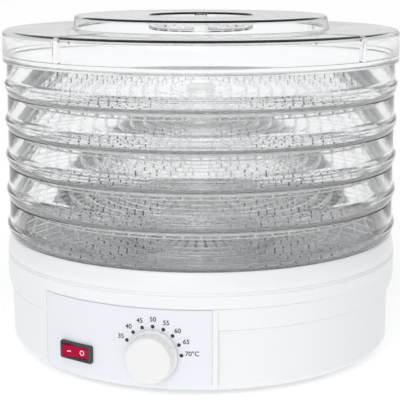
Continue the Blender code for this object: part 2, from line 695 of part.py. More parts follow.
def build():
    clear_scene()
    white = (0.86, 0.87, 0.88)
    looks = {
        "white": material("white_plastic", white, 0.0, 0.35),
        "panel": material("panel_plastic", (0.83, 0.86, 0.91), 0.0, 0.3),
        "clear": (0.88, 0.9, 0.91),
    }
    for i in range(TRAY_COUNT):
        number = TRAY_COUNT - i
        made = tray("tray_%d" % number, BASE_TOP + i * TRAY_PITCH)
        dress(made, material("clear_tray_%d" % number, looks["clear"], 0.0, 0.08, 0.35))
    dress(lid(), material("clear_lid", looks["clear"], 0.0, 0.06, 0.35))
    dress(base_housing(), looks["white"])
    dress(bottom_cover(), material("cover_plastic", (0.8, 0.81, 0.82), 0.0, 0.5))
    dress(control_panel(), looks["panel"])
    for i, azimuth in enumerate(FOOT_AZIMUTHS):
        dress(foot("foot_%d" % (i + 1), azimuth), material("rubber_%d" % (i + 1), (0.06, 0.06, 0.065), 0.0, 0.9))
    steel = material("screw_steel", (0.62, 0.62, 0.64), 1.0, 0.35)
    for i, azimuth in enumerate(POST_AZIMUTHS):
        x, y, _ = polar(POST_RADIUS, azimuth, 0.0)
        dress(self_tapper("cover_screw_%d" % (i + 1), x, y, 3.9, 20.0), steel)
    for side, label in ((-1, "left"), (1, "right")):
        dress(self_tapper("motor_screw_" + label, side * 24.0, 0.0, 38.2, 8.6, 3.4, 1.5), steel)
    for i, azimuth in enumerate(DUCT_AZIMUTHS):
        x, y, _ = polar(DUCT_SCREW_RADIUS, azimuth, 0.0)
        dress(self_tapper("duct_screw_%d" % (i + 1), x, y, DUCT_FLANGE - 1.8, 81.6, 3.0, 1.35, 1.5), steel)
    body, rocker, blades = switch_pieces()
    dress(body, material("switch_black", (0.05, 0.05, 0.055), 0.0, 0.4))
    dress(rocker, material("rocker_red", (0.72, 0.02, 0.06), 0.0, 0.2))
    for blade in blades:
        dress(blade, material(blade.name + "_brass", (0.78, 0.6, 0.3), 1.0, 0.35))
    knob, spindle, bushing, nut, frame, strip = knob_pieces()
    dress(knob, material("knob_plastic", white, 0.0, 0.3))
    dress(spindle, material("spindle_steel", (0.6, 0.6, 0.62), 1.0, 0.3))
    dress(bushing, material("bushing_brass", (0.78, 0.6, 0.3), 1.0, 0.35))
    dress(nut, material("nut_steel", (0.62, 0.62, 0.64), 1.0, 0.3))
    dress(frame, material("thermostat_ceramic", (0.85, 0.83, 0.78), 0.0, 0.6))
    dress(strip, material("bimetal", (0.7, 0.62, 0.5), 1.0, 0.35))
    stator, coil, rotor, shaft, brackets = motor_pieces()
    dress(stator, material("lamination_steel", (0.35, 0.36, 0.38), 1.0, 0.5))
    dress(coil, material("coil_wrap", (0.62, 0.36, 0.12), 0.0, 0.5))
    dress(rotor, material("rotor_metal", (0.55, 0.55, 0.57), 1.0, 0.45))
    dress(shaft, material("shaft_steel", (0.65, 0.65, 0.67), 1.0, 0.25))
    for bracket in brackets:
        dress(bracket, material(bracket.name + "_steel", (0.58, 0.58, 0.6), 1.0, 0.45))
    dress(fan(), material("impeller_plastic", (0.14, 0.14, 0.15), 0.0, 0.5))
    dress(fan_clip(), material("clip_steel", (0.6, 0.6, 0.62), 1.0, 0.4))
    for board in heater_boards():
        dress(board, material(board.name + "_mica", (0.68, 0.6, 0.42), 0.0, 0.55))
    dress(heater_coil(), material("nichrome", (0.4, 0.37, 0.34), 1.0, 0.5))
    dress(heat_duct(), material("galvanised", (0.66, 0.68, 0.7), 1.0, 0.4))
    dress(outlet_grille(), material("grille_plastic", white, 0.0, 0.4))
    block, fuse, gland = electrics()
    dress(block, material("block_plastic", (0.8, 0.78, 0.7), 0.0, 0.5))
    dress(fuse, material("fuse_sleeve", (0.85, 0.84, 0.8), 0.0, 0.7))
    dress(gland, material("gland_plastic", (0.78, 0.79, 0.8), 0.0, 0.5))
    tones = ((0.35, 0.16, 0.06), (0.12, 0.25, 0.6), (0.7, 0.7, 0.68), (0.1, 0.1, 0.1))
    for wire, tone in zip(wires(), tones):
        dress(wire, material(wire.name + "_sleeve", tone, 0.0, 0.5))


build()
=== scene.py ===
import math

import bmesh
import bpy
from mathutils import Matrix, Vector


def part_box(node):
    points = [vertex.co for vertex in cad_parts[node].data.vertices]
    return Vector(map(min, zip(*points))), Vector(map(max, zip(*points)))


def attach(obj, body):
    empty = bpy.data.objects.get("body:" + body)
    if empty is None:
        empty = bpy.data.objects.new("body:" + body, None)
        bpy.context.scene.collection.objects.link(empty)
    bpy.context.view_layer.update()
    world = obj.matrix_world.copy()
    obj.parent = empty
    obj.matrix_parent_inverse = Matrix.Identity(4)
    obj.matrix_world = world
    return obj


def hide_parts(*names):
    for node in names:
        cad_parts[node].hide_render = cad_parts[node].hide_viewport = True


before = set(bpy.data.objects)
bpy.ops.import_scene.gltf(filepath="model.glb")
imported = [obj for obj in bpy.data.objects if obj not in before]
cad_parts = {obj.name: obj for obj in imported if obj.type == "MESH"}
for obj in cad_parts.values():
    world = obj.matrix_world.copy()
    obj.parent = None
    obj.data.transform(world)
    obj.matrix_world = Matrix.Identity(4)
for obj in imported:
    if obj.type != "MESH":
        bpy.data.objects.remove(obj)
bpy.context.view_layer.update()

# --- sizes, in millimetres unless a name says otherwise -----------------------------------------

MM = 0.001


def corner(node, end):
    """Lowest (0) or highest (1) corner of a CAD node, in millimetres."""
    return Vector(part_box(node)[end]) / MM


TRAYS = ["tray_%d" % k for k in range(1, 6)]
FLOOR_DROP = 2.8                  # from the level that a tray is placed by down to its floor's underside
FLOOR_TOP = -1.0                  # the floor's upper face, above the same level
FLOOR_RADIUS = 155.0
RING_OUTER, RING_INNER = 154.0, 152.4       # the slotted ring under a tray's floor
SEAT = {name: corner(name, 0).z + FLOOR_DROP for name in TRAYS}
LID_SEAT = corner("lid", 0).z + 2.0
LID_TOP = corner("lid", 1).z
LID_RADIUS = 164.9
LID_DECK = LID_TOP - 11.0
BASE_TOP = corner("base_housing", 1).z
DECK_TOP = BASE_TOP - 10.5        # the floor of the well under the lowest tray
OUTLET_RADIUS = 60.0
CELLS = 72                        # openings round the rim of a tray floor
PANES = 3                         # parts that each opening is drawn in, between two ribs
RIB_HALF = 0.31                   # half a rib's width, degrees
RING_WIDTH = 1.7                  # of the round ribs between the rows of openings
RIB_AZIMUTHS = (48.6, 138.6, 228.6, 318.6)
ARC_STEP = 18.0                   # degrees between the points of a rounded corner

PANEL_FROM, PANEL_TO = -47.3, 2.9
PANEL_FACE, PANEL_BACK = 162.8, 160.6
PANEL_LOW, PANEL_HIGH = 9.5, 68.6
GAP = 0.05                        # degrees between the panel and its pocket
PAD_FROM, PAD_TO = -48.5, 4.3
RECESS_TO, RECESS_TOP, RECESS_RADIUS = 160.0, 52.5, 159.3
CREASE = 69.6                     # where the collar steps out over the lower wall
EDGE = 0.35                       # width of the steps round the pad and the recess
EDGE_TURN = math.degrees(EDGE / 161.0)      # the same width round the wall, in degrees
GRIP_MIDDLE, GRIP_HALF, GRIP_RADIUS = 90.0, 22.5, 164.1
RIPPLES = ((79.6, 0.6), (81.8, 0.45))       # height and depth of the two lines round the collar
GROOVE_HALF = 0.7                 # half the height of a mould line's rows of points
SWITCH_AZIMUTH, SWITCH_HEIGHT, SWITCH_RADIUS = -35.3, 27.6, 163.1
KNOB_AZIMUTH, KNOB_HEIGHT = -12.8, 33.4
KNOB_REST = 66.0                  # where the pointer stands, degrees clockwise from the top
DIAL_RADIUS, DIAL_FROM, DIAL_STEP, DIAL_MARKS = 22.0, -63.0, 21.5, 8
ROCKER_TILT = 10.0
ROCKER_HALF, ROCKER_DIP, ROCKER_RISE = 11.2, 1.5, 1.75      # half length, middle height, rise to the ends
GLAND_HEIGHT = 26.0
FOOT_RADIUS, FOOT_AZIMUTHS = 112.0, (45.0, 135.0, 225.0, 315.0)
POST_RADIUS, POST_AZIMUTHS = 128.0, (40.0, 140.0, 220.0, 310.0)
COVER_TOP = 6.8

CAMERA_AWAY = 0.983               # metres from the object's axis
CAMERA_ASIDE = -0.00075
CAMERA_HEIGHT = 0.321
CAMERA_TILT = 9.35                # degrees below level
CAMERA_SHIFT = -0.12
FOCAL_LENGTH = 105.0              # millimetres, on a sensor 36 mm wide
LIGHT_BOUNCES = 32                # enough for five clear trays one behind another

# --- mesh tools ---------------------------------------------------------------------------------


def polar(radius, azimuth, height):
    """A point at an azimuth counted from the front, positive towards +X."""
    a = math.radians(azimuth)
    return (radius * math.sin(a), -radius * math.cos(a), height)


def even_azimuths(count):
    """Evenly spaced azimuths all the way round, from 0."""
    return [360.0 * i / count for i in range(count)]


def circle(radius):
    """A round outline of 24 points."""
    turns = [math.radians(a) for a in even_azimuths(24)]
    return [(radius * math.cos(a), radius * math.sin(a)) for a in turns]


def shifted(x, y, z=0.0):
    """A move by a step in millimetres."""
    return Matrix.Translation(Vector((x, y, z)) * MM)


def turned(degrees, axis="Z"):
    """A turn about an axis through the origin."""
    return Matrix.Rotation(math.radians(degrees), 4, axis)


def rounded(points, closed=True):
    """An outline of (r, z, fillet) corners, with each corner turned into an arc."""
    out = []
    count = len(points)
    for i, (r, z, fillet) in enumerate(points):
        here = Vector((r, z))
        if fillet <= 0.0 or (not closed and i in (0, count - 1)):
            out.append((r, z))
            continue
        before = Vector(points[i - 1][:2]) - here
        after = Vector(points[(i + 1) % count][:2]) - here
        half = before.angle(after) / 2.0
        reach = min(fillet / math.tan(half), 0.49 * before.length, 0.49 * after.length)
        radius = reach * math.tan(half)
        u, v = before.normalized(), after.normalized()
        centre = here + (u + v).normalized() * (radius / math.sin(half))
        start, end = here + u * reach - centre, here + v * reach - centre
        first = math.atan2(start.y, start.x)
        turn = (math.atan2(end.y, end.x) - first + math.pi) % (2.0 * math.pi) - math.pi
        steps = max(2, math.ceil(abs(math.degrees(turn)) / ARC_STEP))
        for s in range(steps + 1):
            a = first + turn * s / steps
            out.append((centre.x + radius * math.cos(a), centre.y + radius * math.sin(a)))
    return out


def place_in_scene(name, data):
    """A new object for a mesh, text, light or camera."""
    thing = bpy.data.objects.new(name, data)
    bpy.context.scene.collection.objects.link(thing)
    return thing


def make(name, verts, faces, sharp=32.0):
    """An object from points in millimetres, faces turned outwards, smooth but for its real edges."""
    mesh = bpy.data.meshes.new(name)
    mesh.from_pydata([tuple(c * MM for c in v) for v in verts], [], faces)
    return finish_mesh(name, mesh, sharp)


def finish_mesh(name, mesh, sharp):
    """Welds a mesh, turns its faces outwards, and puts it into the scene as an object."""
    shape = bmesh.new()
    shape.from_mesh(mesh)
    bmesh.ops.remove_doubles(shape, verts=shape.verts, dist=1e-7)
    bmesh.ops.recalc_face_normals(shape, faces=shape.faces)
    shape.to_mesh(mesh)
    shape.free()
    mesh.shade_smooth()
    mesh.set_sharp_from_angle(angle=math.radians(sharp))
    return place_in_scene(name, mesh)


def lathe(name, outline, azimuths, closed=True, sharp=32.0):
    """Turns an outline of (r, z) about the upright axis. r may be a function of the azimuth."""
    verts, rows = [], []
    n = len(azimuths)
    for r, z in outline:
        if not callable(r) and r < 1e-6:
            rows.append([len(verts)])
            verts.append((0.0, 0.0, z))
            continue
        rows.append(list(range(len(verts), len(verts) + n)))
        verts += [polar(r(a) if callable(r) else r, a, z) for a in azimuths]
    faces = []
    following = rows[1:] + rows[:1] if closed else rows[1:]
    for low, high in zip(rows, following):
        if len(low) == 1 and len(high) == 1:
            continue
        for j in range(n):
            k = (j + 1) % n
            ring = [low[j % len(low)], low[k % len(low)], high[k % len(high)], high[j % len(high)]]
            faces.append(list(dict.fromkeys(ring)))
    return make(name, verts, faces, sharp)


def plate_faces(verts, faces, azimuths, radii, top, low, is_open):
    """A round plate between two heights, with openings where is_open(row, segment) says so.

    The radii run inwards. Returns where its outermost top and bottom rings start, for a wall to join."""
    n = len(azimuths)
    high_rows, low_rows = [], []
    for radius in radii:
        for rows, z in ((high_rows, top), (low_rows, low)):
            rows.append(len(verts))
            verts.extend(polar(radius, a, z) for a in azimuths)
    for row in range(len(radii) - 1):
        for j in range(n):
            k = (j + 1) % n
            high, low_row = high_rows[row], low_rows[row]
            high_next, low_next = high_rows[row + 1], low_rows[row + 1]
            if not is_open(row, j):
                faces.append([high + j, high + k, high_next + k, high_next + j])
                faces.append([low_row + j, low_row + k, low_next + k, low_next + j])
            if row > 0 and is_open(row, j) != is_open(row - 1, j):
                faces.append([high + j, high + k, low_row + k, low_row + j])
            if is_open(row, j) != is_open(row, (j - 1) % n):
                faces.append([high + j, high_next + j, low_next + j, low_row + j])
    faces.append([high_rows[-1] + j for j in range(n)])
    faces.append([low_rows[-1] + j for j in range(n)])
    return high_rows[0], low_rows[0]


def link_rings(faces, n, ring_a, ring_b):
    """Joins two rings of n points with a band of faces."""
    for j in range(n):
        k = (j + 1) % n
        faces.append([ring_a + j, ring_a + k, ring_b + k, ring_b + j])


def beveled_box(name, low, high, bevel, segments=3):
    """A box with rounded edges, from corner to corner in millimetres."""
    shape = bmesh.new()
    bmesh.ops.create_cube(shape, size=1.0)
    size = [(b - a) * MM for a, b in zip(low, high)]
    middle = [(a + b) / 2 * MM for a, b in zip(low, high)]
    bmesh.ops.scale(shape, vec=size, verts=shape.verts)
    bmesh.ops.translate(shape, vec=middle, verts=shape.verts)
    bmesh.ops.bevel(shape, geom=list(shape.edges), offset=bevel * MM, segments=segments, profile=0.5,
                    affect="EDGES", clamp_overlap=True)
    mesh = bpy.data.meshes.new(name)
    shape.to_mesh(mesh)
    shape.free()
    return finish_mesh(name, mesh, 40.0)


def prism(name, outline, low, high, bevel=0.0, segments=3, sharp=40.0):
    """A flat outline pulled up from low to high, with its rims rounded."""
    shape = bmesh.new()
    ring = [shape.verts.new((x * MM, y * MM, low * MM)) for x, y in outline]
    face = shape.faces.new(ring)
    moved = bmesh.ops.extrude_face_region(shape, geom=[face])["geom"]
    bmesh.ops.translate(shape, vec=(0, 0, (high - low) * MM),
                        verts=[v for v in moved if isinstance(v, bmesh.types.BMVert)])
    if bevel:
        rims = [e for e in shape.edges if abs(e.verts[0].co.z - e.verts[1].co.z) < 1e-7]
        bmesh.ops.bevel(shape, geom=rims, offset=bevel * MM, segments=segments, profile=0.5,
                        affect="EDGES", clamp_overlap=True)
    mesh = bpy.data.meshes.new(name)
    shape.to_mesh(mesh)
    shape.free()
    return finish_mesh(name, mesh, sharp)


def bake(thing, matrix):
    """Moves a piece's mesh, so that the object stays at the origin."""
    thing.data.transform(matrix)
    return thing


def combine(name, things, sharp=40.0):
    """Joins closed bodies into one object without changing them."""
    shape = bmesh.new()
    for thing in things:
        shape.from_mesh(thing.data)
        bpy.data.objects.remove(thing)
    mesh = bpy.data.meshes.new(name)
    shape.to_mesh(mesh)
    shape.free()
    return finish_mesh(name, mesh, sharp)


def boolean(target, tool, operation, sharp=32.0):
    """Cuts or joins with another closed body, and drops that body."""
    step = target.modifiers.new("step", "BOOLEAN")
    step.operation = operation
    step.solver = "EXACT"
    step.object = tool
    graph = bpy.context.evaluated_depsgraph_get()
    graph.update()
    mesh = bpy.data.meshes.new_from_object(target.evaluated_get(graph))
    target.modifiers.clear()
    target.data = mesh
    mesh.shade_smooth()
    mesh.set_sharp_from_angle(angle=math.radians(sharp))
    bpy.data.objects.remove(tool)
    return target


def panel_frame(azimuth, radius, height):
    """Local X to the viewer's right, Y up and Z outwards at a point of the round wall."""
    a = math.radians(azimuth)
    out = Vector((math.sin(a), -math.cos(a), 0.0))
    right = Vector((math.cos(a), math.sin(a), 0.0))
    up = Vector((0.0, 0.0, 1.0))
    turn = Matrix((right, up, out)).transposed().to_4x4()
    return shifted(*polar(radius, azimuth, height)) @ turn


# --- materials ----------------------------------------------------------------------------------


def noise(tree, coords, scale, detail):
    """A noise texture fixed to the object."""
    node = tree.nodes.new("ShaderNodeTexNoise")
    node.inputs["Scale"].default_value = scale
    node.inputs["Detail"].default_value = detail
    tree.links.new(coords.outputs["Object"], node.inputs["Vector"])
    return node


def spread_value(tree, source, low, high, target):
    """Spreads the middle of a noise's values over a range, and feeds that to a socket."""
    node = tree.nodes.new("ShaderNodeMapRange")
    node.inputs["From Min"].default_value = 0.3
    node.inputs["From Max"].default_value = 0.7
    node.inputs["To Min"].default_value = low
    node.inputs["To Max"].default_value = high
    tree.links.new(source, node.inputs["Value"])
    tree.links.new(node.outputs["Result"], target)


def material(name, colour, roughness, metallic=0.0, drift=0.03, grain=900.0, depth=0.05, bump=0.00002,
             patch=14.0, **sockets):
    """A Principled material whose colour, roughness and surface vary as moulded or worked stock does.

    drift is how far the colour wanders and patch how many of its patches go to a metre, depth how far the
    roughness wanders, and grain and bump the fineness and height, in metres, of the surface's relief."""
    made = bpy.data.materials.new(name)
    made.use_nodes = True
    tree = made.node_tree
    shader = tree.nodes["Principled BSDF"]
    coords = tree.nodes.new("ShaderNodeTexCoord")
    patches = noise(tree, coords, patch, 4.0)
    mix = tree.nodes.new("ShaderNodeMix")
    mix.data_type = "RGBA"
    mix.inputs["A"].default_value = (*[c * (1.0 - drift) for c in colour], 1.0)
    mix.inputs["B"].default_value = (*[min(c * (1.0 + drift), 1.0) for c in colour], 1.0)
    tree.links.new(patches.outputs["Fac"], mix.inputs["Factor"])
    tree.links.new(mix.outputs["Result"], shader.inputs["Base Color"])
    fine = noise(tree, coords, grain, 2.0)
    spread_value(tree, patches.outputs["Fac"], roughness * (1.0 - depth * 4.0),
                 roughness * (1.0 + depth * 4.0), shader.inputs["Roughness"])
    relief = tree.nodes.new("ShaderNodeBump")
    relief.inputs["Strength"].default_value = 1.0
    relief.inputs["Distance"].default_value = bump
    tree.links.new(fine.outputs["Fac"], relief.inputs["Height"])
    tree.links.new(relief.outputs["Normal"], shader.inputs["Normal"])
    shader.inputs["Metallic"].default_value = metallic
    for socket, value in sockets.items():
        shader.inputs[socket.replace("_", " ")].default_value = value
    return made


def clear_plastic(name, roughness, clear):
    """Moulded polystyrene, water-clear where clear is 1, with a faint waviness from the mould."""
    return material(name, (0.99, 0.992, 0.994), roughness, drift=0.006, grain=55.0, depth=0.12, bump=0.00003,
                    patch=9.0, Transmission_Weight=clear, IOR=1.34)


LOOKS = {
    "clear": clear_plastic("clear_polystyrene", 0.05, 1.0),
    # the frosted look is partly real matt frosting and partly painted highlight: its pale diffuse white
    # stands in for the light the ring's bars catch
    "frosted_highlight": clear_plastic("frosted_highlight_polystyrene", 0.3, 0.22),
    "white": material("white_abs", (0.868, 0.876, 0.887), 0.3, drift=0.012, grain=1500.0, bump=0.000012,
                      Coat_Weight=0.1, Coat_Roughness=0.3),
    "panel": material("panel_film", (0.82, 0.845, 0.885), 0.36, drift=0.012, grain=2200.0,
                      bump=0.000008),
    "knob": material("knob_abs", (0.845, 0.845, 0.84), 0.27, drift=0.012, grain=1500.0, bump=0.00001,
                     Coat_Weight=0.3, Coat_Roughness=0.15),
    "cover": material("cover_abs", (0.80, 0.80, 0.80), 0.45, drift=0.03, grain=1200.0, bump=0.00003),
    "print": material("dark_print", (0.035, 0.037, 0.042), 0.5, drift=0.1, grain=3000.0, bump=0.000006),
    "bezel": material("bezel_nylon", (0.045, 0.046, 0.052), 0.42, drift=0.1, grain=1800.0, bump=0.00002),
    "red": material("red_lens", (0.42, 0.0, 0.04), 0.35, drift=0.08, grain=900.0, bump=0.00001,
                    Specular_IOR_Level=0.12),
    "mark": material("pale_mark", (0.87, 0.74, 0.76), 0.35, drift=0.03, grain=1800.0, bump=0.000005),
    "rubber": material("foot_rubber", (0.055, 0.055, 0.06), 0.75, drift=0.12, grain=700.0, bump=0.00006),
    "steel": material("bright_steel", (0.62, 0.63, 0.65), 0.3, 1.0, drift=0.08, grain=1800.0, bump=0.00001),
    "galvanised": material("galvanised_sheet", (0.58, 0.60, 0.62), 0.42, 1.0, drift=0.16, grain=260.0,
                           bump=0.00002, patch=70.0),
    "lamination": material("lamination_steel", (0.34, 0.34, 0.36), 0.45, 1.0, drift=0.2, grain=2600.0,
                           bump=0.00005),
    "brass": material("tinned_brass", (0.78, 0.62, 0.34), 0.3, 1.0, drift=0.1, grain=1400.0, bump=0.00001),
    "copper": material("coil_tape", (0.42, 0.22, 0.07), 0.42, drift=0.2, grain=700.0, bump=0.00006),
    "mica": material("mica_board", (0.62, 0.55, 0.40), 0.5, drift=0.22, grain=420.0, bump=0.00005,
                     patch=60.0),
    "nichrome": material("nichrome_wire", (0.36, 0.34, 0.33), 0.38, 1.0, drift=0.2, grain=1600.0,
                         bump=0.00001),
    "ceramic": material("steatite", (0.83, 0.80, 0.73), 0.35, drift=0.05, grain=900.0, bump=0.00002),
    "fan": material("fan_nylon", (0.14, 0.14, 0.15), 0.42, drift=0.08, grain=900.0, bump=0.00003),
    "block": material("block_nylon", (0.80, 0.78, 0.70), 0.45, drift=0.04, grain=900.0, bump=0.00003),
    "fuse": material("fuse_sleeve", (0.80, 0.79, 0.74), 0.6, drift=0.06, grain=1500.0, bump=0.00005),
    "brown_wire": material("brown_sleeve", (0.35, 0.16, 0.06), 0.4, drift=0.06, grain=1200.0, bump=0.00001),
    "blue_wire": material("blue_sleeve", (0.12, 0.25, 0.60), 0.4, drift=0.06, grain=1200.0, bump=0.00001),
    "grey_wire": material("grey_sleeve", (0.70, 0.70, 0.68), 0.4, drift=0.06, grain=1200.0, bump=0.00001),
    "dark_wire": material("dark_sleeve", (0.10, 0.10, 0.10), 0.4, drift=0.06, grain=1200.0, bump=0.00001),
    "floor": material("studio_floor", (0.93, 0.93, 0.93), 0.6, drift=0.006, grain=60.0, bump=0.00001,
                      patch=2.0, Emission_Color=(1.0, 1.0, 1.0, 1.0), Emission_Strength=0.28),
}


def dress(thing, look, body, replaces=()):
    """Material, body and replaced nodes of one piece."""
    thing.data.materials.clear()
    thing.data.materials.append(LOOKS[look])
    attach(thing, body)
    if replaces:
        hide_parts(*replaces)
    return thing


# --- lid and trays ------------------------------------------------------------------------------


def tray_azimuths():
    """Azimuths of a tray floor: a narrow rib, then its opening in panes, for each cell."""
    pitch = 360.0 / CELLS
    pane = (pitch - 2.0 * RIB_HALF) / PANES
    out = []
    for i in range(CELLS):
        first = i * pitch + RIB_HALF
        out += [i * pitch - RIB_HALF] + [first + pane * p for p in range(PANES)]
    return out


def tray_rows():
    """Radii of the floor's rings, inwards, and how many cells each row's openings span, 0 where solid."""
    radii, spans = [FLOOR_RADIUS], [0]
    zones = ((153.2, 82.0, 7, 1), (80.4, 39.5, 4, 2), (38.0, 13.0, 2, 4))
    for outer, inner, count, span in zones:
        window = (outer - inner - RING_WIDTH * (count - 1)) / count
        r = outer
        for _ in range(count):
            radii += [r, r - window]
            spans += [span, 0]
            r -= window + RING_WIDTH
    return radii, spans


def tray_mesh(name):
    """One tray: the rim, the collar and wall round it, and the grid of its floor."""
    azimuths = tray_azimuths()
    n = len(azimuths)
    radii, spans = tray_rows()

    def is_open(row, j):
        span = spans[row]
        if not span:
            return False
        cell, part = divmod(j, PANES + 1)
        return part != 0 or cell % span != 0

    verts, faces = [], []
    top_ring, low_ring = plate_faces(verts, faces, azimuths, radii, FLOOR_TOP, -FLOOR_DROP, is_open)
    wall = rounded((
        (FLOOR_RADIUS, -FLOOR_DROP, 0.0), (157.6, -FLOOR_DROP, 0.5), (157.6, 0.3, 0.4), (161.8, 0.3, 0.5),
        (163.2, 4.6, 2.5), (164.1, 7.0, 2.0), (164.1, 9.4, 2.0), (161.9, 13.0, 4.0), (161.8, 29.0, 0.8),
        (160.0, 29.0, 0.8), (160.1, 13.2, 4.0), (161.9, 9.6, 2.0), (161.9, 7.2, 2.0), (160.0, 3.0, 1.6),
        (FLOOR_RADIUS, FLOOR_TOP, 0.0),
    ), closed=False)
    ring = low_ring
    for r, z in wall[1:-1]:
        here = len(verts)
        verts.extend(polar(r, a, z) for a in azimuths)
        link_rings(faces, n, ring, here)
        ring = here
    link_rings(faces, n, ring, top_ring)
    shell = make(name, verts, faces, 30.0)
    return combine(name, [shell, slotted_ring("ring", azimuths)], 30.0)


def frost_and_paint_highlight(tray):
    """The slotted ring and the foot that stands on the tray below have a matt finish, a mostly opaque pale
    white that is partly real frosting and partly painted highlight on the ring's bars.
    """
    tray.data.materials.append(LOOKS["frosted_highlight"])
    for face in tray.data.polygons:
        radius, height = face.center.xy.length / MM, face.center.z / MM
        on_ring = radius < RING_OUTER + 0.2 and height < -FLOOR_DROP - 0.05
        on_foot = radius > FLOOR_RADIUS + 0.2 and height < 0.5
        if on_ring or on_foot:
            face.material_index = 1


def slotted_ring(name, azimuths):
    """The upright ring of small windows that hangs under a tray's floor."""
    n = len(azimuths)
    levels = (-FLOOR_DROP + 0.1, -3.3, -5.5, -6.3)
    verts, faces, outer, inner = [], [], [], []
    for radius, rings in ((RING_OUTER, outer), (RING_INNER, inner)):
        for z in levels:
            rings.append(len(verts))
            verts += [polar(radius, a, z) for a in azimuths]
    for j in range(n):
        k = (j + 1) % n
        window = j % (PANES + 1) != 0
        for row in range(3):
            if row == 1 and window:
                continue
            for ring in (outer, inner):
                faces.append([ring[row] + j, ring[row] + k, ring[row + 1] + k, ring[row + 1] + j])
        for row in (0, 1, 2, 3) if window else (0, 3):
            faces.append([outer[row] + j, outer[row] + k, inner[row] + k, inner[row] + j])
        if not window:
            for side in (j, k):
                faces.append([outer[1] + side, outer[2] + side, inner[2] + side, inner[1] + side])
    return make(name, verts, faces, 30.0)


def trays():
    """Five trays that share one mesh."""
    first = tray_mesh("tray_shell_1")
    first.data.materials.append(LOOKS["clear"])
    frost_and_paint_highlight(first)
    for k, node in enumerate(TRAYS, 1):
        thing = first if k == 1 else place_in_scene("tray_shell_%d" % k, first.data)
        thing.location.z = SEAT[node] * MM
        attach(thing, node)
        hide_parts(node)


def lid():
    """Domed lid: skirt, deck, raised ring, and a well crossed by the grip bar."""
    z, top, deck = LID_SEAT, LID_TOP, LID_DECK
    outline = rounded((
        (162.7, z - 2.0, 0.4), (LID_RADIUS, z - 2.0, 0.7), (LID_RADIUS, deck, 3.6), (107.2, deck + 0.3, 1.6),
        (105.2, top, 2.2), (43.9, top, 1.8), (41.8, deck - 0.4, 1.6), (0.0, deck - 0.4, 0.0),
        (0.0, deck - 2.4, 0.0), (43.6, deck - 2.4, 1.6), (45.4, top - 2.0, 1.4), (103.4, top - 2.0, 1.6),
        (105.0, deck - 2.1, 1.4), (162.7, deck - 2.3, 2.0), (162.7, z + 3.8, 0.4), (159.0, z + 3.8, 0.5),
        (159.0, z + 0.3, 0.5), (162.7, z + 0.3, 0.3),
    ))
    shell = lathe("lid_shell", outline, even_azimuths(256), sharp=28.0)
    bar = beveled_box("bar", (-5.4, -43.4, deck - 1.4), (5.4, 43.4, top - 0.8), 1.6)
    shell = boolean(shell, bar, "UNION")
    ribs = []
    for azimuth in RIB_AZIMUTHS:
        rib = beveled_box("rib", (-2.9, -163.2, z + 2.0), (2.9, -159.6, deck - 1.2), 0.8)
        ribs.append(bake(rib, turned(azimuth)))
    shell = boolean(shell, combine("ribs", ribs), "UNION")
    vents = []
    for side in (-1, 1):
        for lane in range(3):
            x = side * (15.0 + 7.5 * lane)
            half = 18.0 - 4.5 * lane
            vents.append(beveled_box("vent", (x - 1.1, -half, deck - 5.0), (x + 1.1, half, deck + 3.0), 1.0))
    shell = boolean(shell, combine("vents", vents), "DIFFERENCE")
    dress(shell, "clear", "lid", ["lid"])


# --- base ---------------------------------------------------------------------------------------


def ease(value, low, high):
    """0 below low, 1 above high, and a smooth climb between."""
    t = min(max((value - low) / (high - low), 0.0), 1.0)
    return t * t * (3.0 - 2.0 * t)


WALL = rounded((
    (147.0, 4.0, 0.0), (151.5, 4.0, 1.0), (156.8, 5.8, 5.0), (160.3, 11.0, 5.0), (161.5, CREASE, 0.0),
    (164.2, CREASE + 0.3, 0.25), (164.3, 80.0, 4.0), (163.5, 86.5, 5.0), (161.8, BASE_TOP - 1.4, 2.0),
    (161.0, BASE_TOP, 0.6),
), closed=False)


def wall_radius(height):
    """Radius of the plain outer wall at a height above its bottom curve."""
    for (r0, z0), (r1, z1) in zip(WALL, WALL[1:]):
        if z0 <= height <= z1 and z1 > z0:
            return r0 + (r1 - r0) * (height - z0) / (z1 - z0)
    return WALL[-1][0]


def groove(height, middle, width, depth):
    """How far a rounded line cuts into the wall at a height."""
    t = abs(height - middle) / (width / 2.0)
    return depth * (1.0 + math.cos(math.pi * t)) / 2.0 if t < 1.0 else 0.0


def left_line(azimuth):
    """The mould line left of the panel, at the height of the recess."""
    return ease(azimuth, -78.0, -70.0) * (1.0 - ease(azimuth, PAD_FROM - 3.0, PAD_FROM - 1.0))


